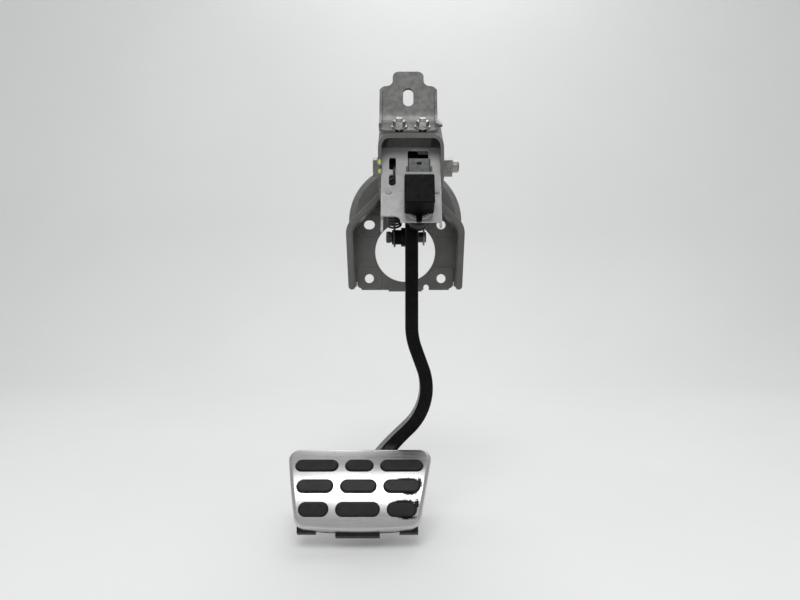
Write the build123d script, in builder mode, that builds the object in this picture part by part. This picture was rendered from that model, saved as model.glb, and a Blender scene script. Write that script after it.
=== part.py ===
"""A car's hanging brake pedal on its firewall bracket, with its stop-lamp switch and return spring.

Millimetres. The origin is the centre of the pushrod hole on the face that meets the firewall.
+X is to the driver's right, +Y is forward through the firewall and +Z is up.
"""
from build123d import *
import math
import os

os.makedirs("parts", exist_ok=True)

# Firewall plate, a stamped tray with rolled rim beads
plate_sheet = 2.5
stud_pitch_x = 80.0
stud_pitch_z = 60.0
stud_hole_diameter = 10.0
stud_slot_travel = 2.0
pushrod_hole_diameter = 67.0
tray_depth = 25.0
bead_width = 7.5
bead_thickness = 4.5
bead_edge_radius = 2.0
bead_foot_x = 57.8
bead_foot_z = -39.0
bead_shoulder_x = 60.9
bead_shoulder_z = 25.5
bead_bend_radius = 18.0
plate_bottom_z = -42.7
plate_bottom_half_width = 48.5
plate_chamfer_rise = 9.0
plate_foot_gap = 3.0
bottom_tab_width = 37.0
bottom_tab_drop = 1.7
drain_notch_x = 23.4
drain_notch_radius = 3.0
nut_seat_rise = 2.0
nut_seat_width = 27.0
nut_seat_inner_z = 18.5
nut_seat_outer_z = 41.0
nut_seat_corner = 5.0
hole_rim_width = 3.5

# Wings above the tray
arch_radius = 62.8
arch_z = 34.5
wing_set_out = 12.0
wing_rim_width = 7.5

# Pivot housing, an inverted-U channel
housing_x = 4.0
housing_width = 59.0
housing_wall = 3.0
housing_corner = 10.0
mouth_y = -140.0
mouth_top_z = 94.0
mouth_bottom_z = 56.0
facet_length = 54.0
facet_slope = 33.7
crown_length = 45.0
back_top_z = 90.0
back_bottom_z = 42.5
lower_edge_y = -122.0
lower_edge_z = 49.0

# Pivot
pivot_y = -106.0
pivot_z = 72.0
bolt_diameter = 10.0
bolt_head_across_flats = 16.0
bolt_head_thickness = 5.7
bolt_flange_diameter = 18.6
bolt_flange_thickness = 1.6
pivot_nut_thickness = 10.0
bolt_end_past_nut = 6.2
bolt_end_chamfer = 1.0
bolt_hole_clearance = 0.1
sleeve_diameter = 14.0
bush_wall = 2.0
bush_flange_thickness = 2.0
bush_running_clearance = 0.05
bush_side_clearance = 0.4
tube_wall = 2.5

# Switch plate, folded in the mouth of the housing
switch_sheet = 2.0
switch_bend_y = -148.0
switch_bend_z = 40.0
switch_upper_lean = 28.0
switch_lower_lean = 20.0
switch_upper_length = 52.0
switch_lower_length = 28.3
switch_flange_depth = 8.5
switch_left_flange_drop = 8.0
switch_right_flange_drop = 4.0
switch_cutout_width = 15.0
switch_cutout_height = 6.0
switch_cutout_corner = 5.0
hook_hole_x = -12.6
hook_hole_width = 6.2
hook_hole_low = 8.0
hook_hole_length = 13.0
hook_web = 5.0
hook_slot_length = 15.0
hook_slot_corner = 2.0
plug_window_width = 19.0
plug_window_height = 14.0
plug_window_margin = 2.4
plug_window_corner = 2.0

# Stop-lamp switch, set square to the lower part of its plate
switch_x = 10.6
switch_down = 12.8
switch_emboss_diameter = 27.0
switch_emboss_rise = 1.2
barrel_diameter = 15.6
barrel_clearance = 0.2
barrel_reach = 12.0
lock_ring_diameter = 22.0
lock_ring_thickness = 3.0
lock_key_width = 5.0
lock_key_reach = 17.0
lock_key_corner = 1.6
switch_body_width = 25.4
switch_body_top = 17.5
switch_body_bottom = 10.0
switch_body_depth = 20.0
switch_body_corner = 2.0
switch_body_edge = 1.0
connector_width = 19.5
connector_height = 17.5
connector_depth = 11.0
connector_inset = 4.5
connector_wall = 1.5
connector_floor = 5.0
connector_ear = 1.6
connector_ear_height = 11.7
terminal_count = 2
terminal_width = 2.2
terminal_thickness = 0.7
terminal_length = 7.0
terminal_pitch = 5.5
plunger_diameter = 5.0
plunger_clearance = 0.1
plunger_reach = 7.0
plunger_root = 9.0
plunger_travel = 5.0
plunger_tip_radius = 1.2

# Cowl bracket, an upright on the sloping facet of the housing
cowl_x = 2.0
cowl_sheet = 2.5
cowl_width = 54.0
cowl_base_start = 2.5
cowl_base_length = 30.5
cowl_base_corner = 9.0
cowl_lean = 18.0
cowl_shoulder_height = 38.5
cowl_height = 55.0
cowl_tab_width = 29.5
cowl_shoulder_radius = 6.0
cowl_flange_height = 6.0
cowl_slot_width = 9.7
cowl_slot_length = 20.0
cowl_slot_height = 26.0
cowl_ear_reach = 4.0
cowl_ear_width = 14.0
stud_spread = 21.0
stud_up_slope = 10.5
stud_diameter = 6.0
stud_slot_clearance = 1.0
stud_head_diameter = 12.0
stud_head_thickness = 1.6
stud_length_past_nut = 2.5
nut_across_flats = 10.0
nut_thickness = 6.0
nut_flange_diameter = 14.6
nut_flange_thickness = 1.4

# Pedal arm, a flat bar that cranks to the left
arm_x = 5.0
arm_thickness = 12.0
arm_eye_radius = 16.0
arm_edge_radius = 2.6
arm_corner_run = 18.0
arm_crank_z = -88.7
arm_knee_x = 27.3
arm_knee_z = -149.8
arm_crank_radius = 60.0
arm_knee_radius = 55.0
arm_depth = 26.0
arm_waist_y = -114.0
arm_waist_z = -40.0
arm_calf_y = -111.0
arm_calf_z = -130.0
arm_heel_y = -98.0
arm_heel_z = -190.0
arm_toe_y = -138.0
arm_toe_z = -238.0
arm_bow_radius = 90.0
arm_heel_radius = 16.0
arm_toe_x = -44.0

# Clevis pin and spring
pin_y = -101.0
pin_z = 6.0
pin_diameter = 10.0
pin_hole_clearance = 0.1
pin_boss_diameter = 18.0
pin_boss_height = 3.8
pin_head_diameter = 11.0
pin_head_thickness = 4.0
pin_head_edge = 1.3
pin_head_face_x = -19.0
pin_tail = 8.0
clip_diameter = 16.0
clip_thickness = 1.5
clip_groove_depth = 1.2
bush_sleeve_diameter = 14.0
bush_sleeve_length = 8.6
wire_diameter = 2.0
coil_diameter = 12.0
coil_pitch = 2.7
coil_turns = 11
spring_x = -11.0
hook_clearance = 0.6
hook_sweep = 270.0
shank_length = 3.0

# Stop on the arm behind the switch
stop_rubber_diameter = 20.0
stop_rubber_thickness = 6.0
stop_rubber_dome = 1.8
stop_plate_thickness = 3.0
stop_plate_diameter = 21.0
stop_web_thickness = 6.0
plunger_gap = 0.3

# Pad: a cover over rubber over a steel plate, curved about X
pad_x = -42.2
pad_radius = 93.5
pad_centre_y = -76.3
pad_centre_z = -274.0
pad_lean = 38.0
pad_top = 37.9
pad_bottom = -33.4
pad_bottom_bow = 2.5
pad_top_width = 133.6
pad_bottom_width = 106.3
pad_corner = 10.0
cover_sheet = 0.9
cover_depth = 5.5
cover_edge_radius = 3.5
cover_gap = 0.1
row_pitch_angle = 12.1
row_slot_height = 12.3
row_slot_gap = 5.8
row_middle_length = 32.0
row_side_length = 32.4
row_length_step = 6.4
nub_clearance = 0.35
nub_rise = 2.0
nub_edge_radius = 1.6
rubber_thickness = 11.0
rubber_wrap = 12.0
wrap_gap = 0.3
lip_reach = 2.3
centre_lip_width = 38.0
side_lip_width = 16.0
side_lip_offset = 44.0
pad_plate_thickness = 3.0
pad_plate_depth = 5.5
pad_plate_inset = 8.0

# Values that follow
wall_left_x = housing_x - housing_width / 2
wall_right_x = housing_x + housing_width / 2
inner_left_x = wall_left_x + housing_wall
inner_right_x = wall_right_x - housing_wall
inner_width = inner_right_x - inner_left_x


def leaning_plane(x, y, z, lean):
    """A plane that faces the driver and leans back from upright by an angle."""
    angle = math.radians(lean)
    return Plane(origin=(x, y, z), x_dir=(1, 0, 0), z_dir=(0, -math.cos(angle), math.sin(angle)))


def step_along(point, angle, distance):
    """The point a distance away in the YZ plane, at an angle from +Y towards +Z."""
    turn = math.radians(angle)
    return (point[0] + distance * math.cos(turn), point[1] + distance * math.sin(turn))


def shifted_line(points, distance):
    """A polyline moved sideways to its right by a distance, with mitred corners."""
    shifted = []
    for index, point in enumerate(points):
        before = points[max(index - 1, 0)]
        after = points[min(index + 1, len(points) - 1)]
        start = before if index > 0 else point
        end = after if index < len(points) - 1 else point
        into = Vector(point[0] - start[0], point[1] - start[1])
        out = Vector(end[0] - point[0], end[1] - point[1])
        into = into if into.length > 0 else out
        out = out if out.length > 0 else into
        into = into.normalized()
        out = out.normalized()
        bisector = Vector(into.Y + out.Y, -into.X - out.X).normalized()
        stretch = distance / (bisector.X * out.Y - bisector.Y * out.X)
        shifted.append((point[0] + bisector.X * stretch, point[1] + bisector.Y * stretch))
    return shifted


# Firewall plate: wings with a rim that falls back to the firewall
wall_inset = (bead_width - plate_sheet) / 2
wall_foot_x = bead_foot_x - wall_inset
wall_shoulder_x = bead_shoulder_x - wall_inset
wall_shoulder_z = bead_shoulder_z - wall_inset * (math.sqrt(2) - 1)
wall_top_left_z = wall_shoulder_z + wall_shoulder_x + wall_left_x
wall_top_right_z = wall_shoulder_z + wall_shoulder_x - wall_right_x
rim_inner_radius = arch_radius - wing_rim_width
seat_height = nut_seat_outer_z - nut_seat_inner_z
seat_pitch = nut_seat_outer_z + nut_seat_inner_z

with BuildPart() as wings:
    with BuildSketch(Plane.XZ.offset(wing_set_out)):
        with Locations((0, arch_z)):
            Circle(rim_inner_radius)
    extrude(amount=plate_sheet)
    with BuildSketch(Plane.YZ):
        with BuildLine():
            Polyline(
                (-wing_set_out - plate_sheet, arch_z + rim_inner_radius - plate_sheet),
                (-wing_set_out - plate_sheet, arch_z + rim_inner_radius),
                (-plate_sheet, arch_z + arch_radius),
                (0, arch_z + arch_radius),
                (0, arch_z + arch_radius - plate_sheet),
                (-wing_set_out, arch_z + rim_inner_radius - plate_sheet),
                close=True,
            )
        make_face()
    revolve(axis=Axis((0, 0, arch_z), (0, 1, 0)))
    with BuildSketch(Plane.XZ):
        with BuildLine():
            Polyline(
                (-arch_radius, arch_z - 2 * arch_radius),
                (-arch_radius, wall_shoulder_z + wall_shoulder_x - arch_radius),
                (wall_left_x, wall_top_left_z),
                (wall_left_x, arch_z + 2 * arch_radius),
                (wall_right_x, arch_z + 2 * arch_radius),
                (wall_right_x, wall_top_right_z),
                (arch_radius, wall_shoulder_z + wall_shoulder_x - arch_radius),
                (arch_radius, arch_z - 2 * arch_radius),
                close=True,
            )
        make_face()
    extrude(amount=2 * tray_depth, mode=Mode.SUBTRACT)

with BuildPart() as firewall_plate:
    # Tray floor, up to the arch inside the housing
    with BuildSketch(Plane.XZ):
        with BuildLine():
            Polyline(
                (-plate_bottom_half_width, plate_bottom_z),
                (-wall_foot_x + plate_foot_gap, plate_bottom_z + plate_chamfer_rise),
                (-wall_foot_x, plate_bottom_z + plate_chamfer_rise),
                (-wall_shoulder_x, wall_shoulder_z),
                (wall_left_x, wall_top_left_z),
                (wall_left_x, back_top_z),
                (wall_right_x, back_top_z),
                (wall_right_x, wall_top_right_z),
                (wall_shoulder_x, wall_shoulder_z),
                (wall_foot_x, plate_bottom_z + plate_chamfer_rise),
                (wall_foot_x - plate_foot_gap, plate_bottom_z + plate_chamfer_rise),
                (plate_bottom_half_width, plate_bottom_z),
                close=True,
            )
        make_face()
        with Locations((0, plate_bottom_z)):
            Rectangle(bottom_tab_width, 2 * bottom_tab_drop)
    extrude(amount=plate_sheet)
    # Tray walls and the rolled beads along their edges
    for side, wall_x, wall_top_z in ((-1, wall_left_x, wall_top_left_z), (1, wall_right_x, wall_top_right_z)):
        bead_top_z = bead_shoulder_z + bead_shoulder_x - abs(wall_x)
        with BuildSketch(Plane.XZ):
            with BuildLine():
                FilletPolyline(
                    (side * wall_foot_x, bead_foot_z),
                    (side * wall_shoulder_x, wall_shoulder_z),
                    (wall_x, wall_top_z),
                    radius=bead_bend_radius,
                )
            trace(line_width=plate_sheet)
        extrude(amount=tray_depth)
        with BuildSketch(Plane.XZ.offset(tray_depth - bead_thickness / 2)):
            with BuildLine():
                FilletPolyline(
                    (side * bead_foot_x, bead_foot_z),
                    (side * bead_shoulder_x, bead_shoulder_z),
                    (wall_x, bead_top_z),
                    radius=bead_bend_radius,
                )
            trace(line_width=bead_width)
            with Locations((side * bead_foot_x, bead_foot_z)):
                Circle(bead_width / 2)
        extrude(amount=bead_thickness)
    fillet(firewall_plate.faces().group_by(Axis.Y)[0].edges(), bead_edge_radius)
    add(wings.part)
    # Ends trimmed flush with the housing walls
    with BuildSketch(Plane.XZ.offset(plate_sheet)):
        with Locations((housing_x, arch_z + arch_radius)):
            Rectangle(housing_width, 2 * arch_radius)
    extrude(amount=2 * tray_depth, mode=Mode.SUBTRACT)
    # Raised seats for the stud nuts
    with BuildSketch(Plane.XZ.offset(plate_sheet)):
        with GridLocations(stud_pitch_x, seat_pitch, 2, 2):
            RectangleRounded(nut_seat_width, seat_height, nut_seat_corner)
    extrude(amount=nut_seat_rise)
    with BuildSketch(Plane.XZ):
        with GridLocations(stud_pitch_x, seat_pitch, 2, 2):
            RectangleRounded(
                nut_seat_width - plate_sheet, seat_height - plate_sheet, nut_seat_corner - plate_sheet / 2
            )
    extrude(amount=nut_seat_rise, mode=Mode.SUBTRACT)
    # Pushrod hole with a plain rim, stud holes and the drain notch
    with BuildSketch(Plane.XZ):
        Circle(pushrod_hole_diameter / 2 + hole_rim_width)
    extrude(amount=plate_sheet)
    with BuildSketch(Plane.XZ.offset(plate_sheet)):
        Circle(pushrod_hole_diameter / 2 + hole_rim_width)
    extrude(amount=nut_seat_rise, mode=Mode.SUBTRACT)
    with BuildSketch(Plane.XZ):
        Circle(pushrod_hole_diameter / 2)
        with Locations(
            (-stud_pitch_x / 2, -stud_pitch_z / 2),
            (stud_pitch_x / 2, -stud_pitch_z / 2),
            (stud_pitch_x / 2, stud_pitch_z / 2),
        ):
            Circle(stud_hole_diameter / 2)
        with Locations((-stud_pitch_x / 2, stud_pitch_z / 2)):
            SlotCenterToCenter(stud_slot_travel, stud_hole_diameter)
        with Locations((drain_notch_x, plate_bottom_z + drain_notch_radius)):
            Circle(drain_notch_radius)
        with Locations((drain_notch_x, plate_bottom_z)):
            Rectangle(2 * drain_notch_radius, 2 * drain_notch_radius)
    extrude(amount=tray_depth / 2, mode=Mode.SUBTRACT)
firewall_plate.part.label = "firewall_plate"
export_step(firewall_plate.part, "parts/firewall_plate.step")

# Pivot housing: the top line runs from the mouth up the facet, along the crown and down to the plate
mouth_top = (mouth_y, mouth_top_z)
facet_top = step_along(mouth_top, facet_slope, facet_length)
crown_end = (facet_top[0] + crown_length, facet_top[1])
back_top = (-plate_sheet, back_top_z)
outer_top_line = [mouth_top, facet_top, crown_end, back_top]
inner_top_line = shifted_line(outer_top_line, housing_wall)
inner_mouth = step_along(inner_top_line[0], facet_slope, -facet_length)
inner_back_slope = math.atan2(back_top[1] - crown_end[1], back_top[0] - crown_end[0])
inner_back = step_along(inner_top_line[3], math.degrees(inner_back_slope), facet_length)

facet_plane = Plane(
    origin=(housing_x, *mouth_top),
    x_dir=(1, 0, 0),
    z_dir=(0, -math.sin(math.radians(facet_slope)), math.cos(math.radians(facet_slope))),
)
stud_points = ((-stud_spread / 2, stud_up_slope), (stud_spread / 2, stud_up_slope))

with BuildPart() as housing_hollow:
    with BuildSketch(Plane.YZ.offset(inner_left_x)):
        with BuildLine():
            Polyline(
                inner_mouth,
                inner_top_line[1],
                inner_top_line[2],
                inner_back,
                (inner_back[0], -back_top_z),
                (inner_mouth[0], -back_top_z),
                close=True,
            )
        make_face()
    extrude(amount=inner_width)
    crease_edges = housing_hollow.edges().filter_by(Plane.YZ).filter_by(lambda e: e.center().Z > mouth_bottom_z)
    fillet(crease_edges, housing_corner - housing_wall)

with BuildPart() as pivot_housing:
    with BuildSketch(Plane.YZ.offset(wall_left_x)):
        with BuildLine():
            Polyline(
                mouth_top,
                facet_top,
                crown_end,
                back_top,
                (-plate_sheet, back_bottom_z),
                (lower_edge_y, lower_edge_z),
                (mouth_y, mouth_bottom_z),
                close=True,
            )
        make_face()
    extrude(amount=housing_width)
    crease_edges = pivot_housing.edges().filter_by(Plane.YZ).filter_by(lambda e: e.center().Z > mouth_top_z)
    fillet(crease_edges, housing_corner)
    add(housing_hollow.part, mode=Mode.SUBTRACT)
    with BuildSketch(Plane.YZ):
        with Locations((pivot_y, pivot_z)):
            Circle(bolt_diameter / 2 + bolt_hole_clearance)
    extrude(amount=2 * housing_width, both=True, mode=Mode.SUBTRACT)
    with BuildSketch(facet_plane):
        with Locations(*stud_points):
            Circle(stud_diameter / 2 + bolt_hole_clearance)
    extrude(amount=-2 * housing_wall, mode=Mode.SUBTRACT)
pivot_housing.part.label = "pivot_housing"
export_step(pivot_housing.part, "parts/pivot_housing.step")

# Switch plate: two leaning panels with side flanges against the housing walls
switch_upper_plane = leaning_plane(housing_x, switch_bend_y, switch_bend_z, switch_upper_lean)
switch_lower_plane = leaning_plane(housing_x, switch_bend_y, switch_bend_z, switch_lower_lean)
switch_bend = (switch_bend_y, switch_bend_z)
switch_top = step_along(switch_bend, 90 - switch_upper_lean, switch_upper_length)
switch_foot = step_along(switch_bend, 90 - switch_lower_lean, -switch_lower_length)
switch_front_line = [switch_top, switch_bend, switch_foot]
switch_back_line = shifted_line(switch_front_line, -switch_sheet)
switch_flange_line = shifted_line(switch_front_line, -switch_flange_depth)
hook_hole_middle = hook_hole_low + hook_hole_length / 2
hook_slot_middle = hook_hole_low + hook_hole_length + hook_web + hook_slot_length / 2

with BuildPart() as switch_plate:
    with BuildSketch(Plane.YZ.offset(inner_left_x)):
        with BuildLine():
            Polyline(*switch_front_line, *reversed(switch_back_line), close=True)
        make_face()
    extrude(amount=inner_width)
    flange_sides = (
        (inner_left_x, switch_left_flange_drop),
        (inner_right_x - switch_sheet, switch_right_flange_drop),
    )
    for flange_x, flange_drop in flange_sides:
        flange_tip = step_along(switch_foot, 90 - switch_lower_lean, -flange_drop)
        flange_heel = step_along(flange_tip, -switch_lower_lean, switch_flange_depth / 2)
        with BuildSketch(Plane.YZ.offset(flange_x)):
            with BuildLine():
                Polyline(
                    *switch_front_line,
                    flange_tip,
                    flange_heel,
                    switch_flange_line[1],
                    switch_flange_line[0],
                    close=True,
                )
            make_face()
        extrude(amount=switch_sheet)
    with BuildSketch(switch_lower_plane):
        with Locations((switch_x - housing_x, -switch_down)):
            Circle(switch_emboss_diameter / 2)
    extrude(amount=switch_emboss_rise)
    # Rounded cut-out at the lower left
    with BuildSketch(switch_lower_plane):
        with Locations((inner_left_x + switch_sheet - housing_x, -switch_lower_length)):
            RectangleRounded(2 * switch_cutout_width, 2 * switch_cutout_height, switch_cutout_corner)
    extrude(amount=-2 * switch_sheet, mode=Mode.SUBTRACT)
    # Barrel hole, spring hook holes and the window behind the plug
    with BuildSketch(switch_lower_plane):
        with Locations((switch_x - housing_x, -switch_down)):
            Circle(barrel_diameter / 2 + barrel_clearance)
    extrude(amount=2 * switch_sheet, both=True, mode=Mode.SUBTRACT)
    with BuildSketch(switch_upper_plane):
        with Locations((hook_hole_x - housing_x, hook_hole_middle)):
            SlotOverall(hook_hole_length, hook_hole_width, rotation=90)
        with Locations((hook_hole_x - housing_x, hook_slot_middle)):
            RectangleRounded(hook_hole_width, hook_slot_length, hook_slot_corner)
        with Locations((switch_x - housing_x, switch_upper_length - plug_window_margin - plug_window_height / 2)):
            RectangleRounded(plug_window_width, plug_window_height, plug_window_corner)
    extrude(amount=2 * switch_sheet, both=True, mode=Mode.SUBTRACT)
switch_plate.part.label = "switch_plate"
export_step(switch_plate.part, "parts/switch_plate.step")

# Stop-lamp switch
switch_centre = step_along(switch_bend, 90 - switch_lower_lean, -switch_down)
switch_plane = leaning_plane(switch_x, *switch_centre, switch_lower_lean)
ring_face = switch_emboss_rise + lock_ring_thickness
body_middle = (switch_body_top - switch_body_bottom) / 2
body_height = switch_body_top + switch_body_bottom
connector_front = ring_face + switch_body_depth - connector_inset

with BuildPart() as switch_housing:
    with BuildSketch(switch_plane.offset(ring_face)):
        with Locations((0, body_middle)):
            RectangleRounded(switch_body_width, body_height, switch_body_corner)
    extrude(amount=switch_body_depth)
    fillet(switch_housing.faces().sort_by(Axis.Y)[0].edges(), switch_body_edge)
    with BuildSketch(switch_plane.offset(ring_face)):
        Circle(barrel_diameter / 2)
    extrude(amount=-ring_face - barrel_reach)
    with BuildSketch(switch_plane.offset(-barrel_reach)):
        Circle(plunger_diameter / 2 + plunger_clearance)
    extrude(amount=barrel_reach + plunger_root, mode=Mode.SUBTRACT)
switch_housing.part.label = "switch_housing"
export_step(switch_housing.part, "parts/switch_housing.step")

with BuildPart() as switch_lock_ring:
    with BuildSketch(switch_plane.offset(switch_emboss_rise)):
        Circle(lock_ring_diameter / 2)
        with Locations((0, -lock_key_reach / 2)):
            RectangleRounded(lock_key_width, lock_key_reach, lock_key_corner)
        Circle(barrel_diameter / 2 + bolt_hole_clearance, mode=Mode.SUBTRACT)
    extrude(amount=lock_ring_thickness)
switch_lock_ring.part.label = "switch_lock_ring"
export_step(switch_lock_ring.part, "parts/switch_lock_ring.step")

connector_plane = Plane(
    origin=switch_plane.from_local_coords((0, switch_body_top, connector_front - connector_depth / 2)),
    x_dir=(1, 0, 0),
    z_dir=switch_plane.y_dir,
)
with BuildPart() as switch_connector:
    with BuildSketch(connector_plane):
        RectangleRounded(connector_width, connector_depth, connector_wall)
    extrude(amount=connector_height)
    with BuildSketch(connector_plane):
        Rectangle(connector_width + 2 * connector_ear, connector_depth / 2)
    extrude(amount=connector_ear_height)
    with BuildSketch(connector_plane.offset(connector_floor)):
        Rectangle(connector_width - 2 * connector_wall, connector_depth - 2 * connector_wall)
    extrude(amount=connector_height, mode=Mode.SUBTRACT)
    with BuildSketch(connector_plane):
        with GridLocations(terminal_pitch, 0, terminal_count, 1):
            Rectangle(terminal_width, terminal_thickness)
    extrude(amount=connector_floor, mode=Mode.SUBTRACT)
switch_connector.part.label = "switch_connector"
export_step(switch_connector.part, "parts/switch_connector.step")

with BuildPart() as switch_terminals:
    with BuildSketch(connector_plane):
        with GridLocations(terminal_pitch, 0, terminal_count, 1):
            Rectangle(terminal_width, terminal_thickness)
    extrude(amount=connector_floor + terminal_length)
switch_terminals.part.label = "switch_terminals"
export_step(switch_terminals.part, "parts/switch_terminals.step")

with BuildPart() as switch_plunger:
    with BuildSketch(switch_plane.offset(-barrel_reach - plunger_reach)):
        Circle(plunger_diameter / 2)
    extrude(amount=plunger_reach + barrel_reach + plunger_root - plunger_travel)
    fillet(switch_plunger.faces().sort_by(Axis.Y)[-1].edges(), plunger_tip_radius)
switch_plunger.part.label = "switch_plunger"
export_step(switch_plunger.part, "parts/switch_plunger.step")

# Cowl bracket
cowl_plane = Plane(
    origin=(cowl_x, *mouth_top), x_dir=(1, 0, 0), z_dir=facet_plane.z_dir
)
cowl_bend = step_along(mouth_top, facet_slope, cowl_base_start + cowl_base_length)
upright_plane = leaning_plane(cowl_x, *cowl_bend, cowl_lean)
stud_shift = housing_x - cowl_x
base_middle = cowl_base_start + cowl_base_length / 2
cowl_base_end = cowl_base_start + cowl_base_length
base_flange_length = cowl_base_length - cowl_base_corner
stud_slot_length = stud_up_slope - cowl_base_start
stud_slot_width = stud_diameter + stud_slot_clearance

with BuildPart() as cowl_bracket:
    with BuildSketch(cowl_plane) as cowl_base:
        with Locations((0, base_middle)):
            Rectangle(cowl_width, cowl_base_length)
        fillet(cowl_base.vertices().group_by(Axis.Y)[0], cowl_base_corner)
    extrude(amount=cowl_sheet)
    # Ear that curls out at the right
    with BuildSketch(cowl_plane):
        with Locations((cowl_width / 2, cowl_base_end - cowl_ear_width / 2)):
            Rectangle(2 * cowl_ear_reach, cowl_ear_width)
    extrude(amount=cowl_sheet)
    with BuildSketch(upright_plane):
        with BuildLine():
            FilletPolyline(
                (-cowl_width / 2, 0),
                (-cowl_width / 2, cowl_shoulder_height),
                (-cowl_tab_width / 2, cowl_shoulder_height),
                (-cowl_tab_width / 2, cowl_height),
                (cowl_tab_width / 2, cowl_height),
                (cowl_tab_width / 2, cowl_shoulder_height),
                (cowl_width / 2, cowl_shoulder_height),
                (cowl_width / 2, 0),
                radius=cowl_shoulder_radius,
            )
            Line((cowl_width / 2, 0), (-cowl_width / 2, 0))
        make_face()
        with Locations((0, cowl_slot_height)):
            SlotOverall(cowl_slot_length, cowl_slot_width, rotation=90, mode=Mode.SUBTRACT)
    extrude(amount=cowl_sheet)
    # Flanges along both sides of the base and the upright
    flange_rise = cowl_shoulder_height - cowl_shoulder_radius
    for side in (-1, 1):
        flange_x = side * (cowl_width - cowl_sheet) / 2
        with BuildSketch(cowl_plane):
            with Locations((flange_x, cowl_base_end - base_flange_length / 2)):
                Rectangle(cowl_sheet, base_flange_length)
        extrude(amount=cowl_flange_height)
        with BuildSketch(upright_plane):
            with Locations((flange_x, flange_rise / 2)):
                Rectangle(cowl_sheet, flange_rise)
        extrude(amount=cowl_flange_height)
    # Open slots for the studs
    with BuildSketch(cowl_plane):
        for stud_side in (-1, 1):
            with Locations((stud_shift + stud_side * stud_spread / 2, stud_up_slope)):
                Circle(stud_slot_width / 2)
            with Locations((stud_shift + stud_side * stud_spread / 2, stud_up_slope - stud_slot_length)):
                Rectangle(stud_slot_width, 2 * stud_slot_length)
    extrude(amount=cowl_sheet, mode=Mode.SUBTRACT)
cowl_bracket.part.label = "cowl_bracket"
export_step(cowl_bracket.part, "parts/cowl_bracket.step")

with BuildPart() as cowl_studs:
    with BuildSketch(facet_plane):
        with Locations(*stud_points):
            Circle(stud_diameter / 2)
    extrude(amount=cowl_sheet + nut_thickness + stud_length_past_nut)
    with BuildSketch(facet_plane):
        with Locations(*stud_points):
            Circle(stud_diameter / 2)
    extrude(amount=-housing_wall)
    with BuildSketch(facet_plane.offset(-housing_wall)):
        with Locations(*stud_points):
            Circle(stud_head_diameter / 2)
    extrude(amount=-stud_head_thickness)
cowl_studs.part.label = "cowl_studs"
export_step(cowl_studs.part, "parts/cowl_studs.step")

with BuildPart() as cowl_nuts:
    with BuildSketch(facet_plane.offset(cowl_sheet)):
        with Locations(*stud_points):
            RegularPolygon(nut_across_flats / 2, 6, major_radius=False)
            Circle(stud_diameter / 2 + bolt_hole_clearance, mode=Mode.SUBTRACT)
    extrude(amount=nut_thickness)
    with BuildSketch(facet_plane.offset(cowl_sheet)):
        with Locations(*stud_points):
            Circle(nut_flange_diameter / 2)
            Circle(stud_diameter / 2 + bolt_hole_clearance, mode=Mode.SUBTRACT)
    extrude(amount=nut_flange_thickness)
cowl_nuts.part.label = "cowl_nuts"
export_step(cowl_nuts.part, "parts/cowl_nuts.step")

# Pivot bolt, nut and sleeve
bolt_plane = Plane(origin=(wall_left_x, pivot_y, pivot_z), x_dir=(0, 1, 0), z_dir=(1, 0, 0))
nut_plane = bolt_plane.offset(housing_width)
sleeve_plane = bolt_plane.offset(housing_wall)

with BuildPart() as pivot_bolt:
    with BuildSketch(bolt_plane):
        Circle(bolt_diameter / 2)
    extrude(amount=housing_width + pivot_nut_thickness + bolt_end_past_nut)
    chamfer(pivot_bolt.faces().sort_by(Axis.X)[-1].edges(), bolt_end_chamfer)
    with BuildSketch(bolt_plane):
        Circle(bolt_flange_diameter / 2)
    extrude(amount=-bolt_flange_thickness)
    with BuildSketch(bolt_plane):
        RegularPolygon(bolt_head_across_flats / 2, 6, major_radius=False, rotation=30)
    extrude(amount=-bolt_head_thickness)
pivot_bolt.part.label = "pivot_bolt"
export_step(pivot_bolt.part, "parts/pivot_bolt.step")

with BuildPart() as pivot_nut:
    with BuildSketch(nut_plane):
        RegularPolygon(bolt_head_across_flats / 2, 6, major_radius=False, rotation=30)
    extrude(amount=pivot_nut_thickness)
    with BuildSketch(nut_plane):
        Circle(bolt_flange_diameter / 2)
    extrude(amount=bolt_flange_thickness)
    with BuildSketch(nut_plane):
        Circle(bolt_diameter / 2 + bolt_hole_clearance)
    extrude(amount=pivot_nut_thickness, mode=Mode.SUBTRACT)
pivot_nut.part.label = "pivot_nut"
export_step(pivot_nut.part, "parts/pivot_nut.step")

with BuildPart() as pivot_sleeve:
    with BuildSketch(sleeve_plane):
        Circle(sleeve_diameter / 2)
        Circle(bolt_diameter / 2 + bolt_hole_clearance, mode=Mode.SUBTRACT)
    extrude(amount=inner_width)
pivot_sleeve.part.label = "pivot_sleeve"
export_step(pivot_sleeve.part, "parts/pivot_sleeve.step")

# Bushes and tube that turn on the sleeve
bush_bore = sleeve_diameter / 2 + bush_running_clearance
tube_bore = bush_bore + bush_wall
tube_radius = tube_bore + tube_wall
tube_start = bush_side_clearance + bush_flange_thickness
tube_length = inner_width - 2 * tube_start
bush_length = tube_length / 3

with BuildPart() as pivot_tube:
    with BuildSketch(sleeve_plane.offset(tube_start)):
        Circle(tube_radius)
        Circle(tube_bore, mode=Mode.SUBTRACT)
    extrude(amount=tube_length)
pivot_tube.part.label = "pivot_tube"
export_step(pivot_tube.part, "parts/pivot_tube.step")

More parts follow.
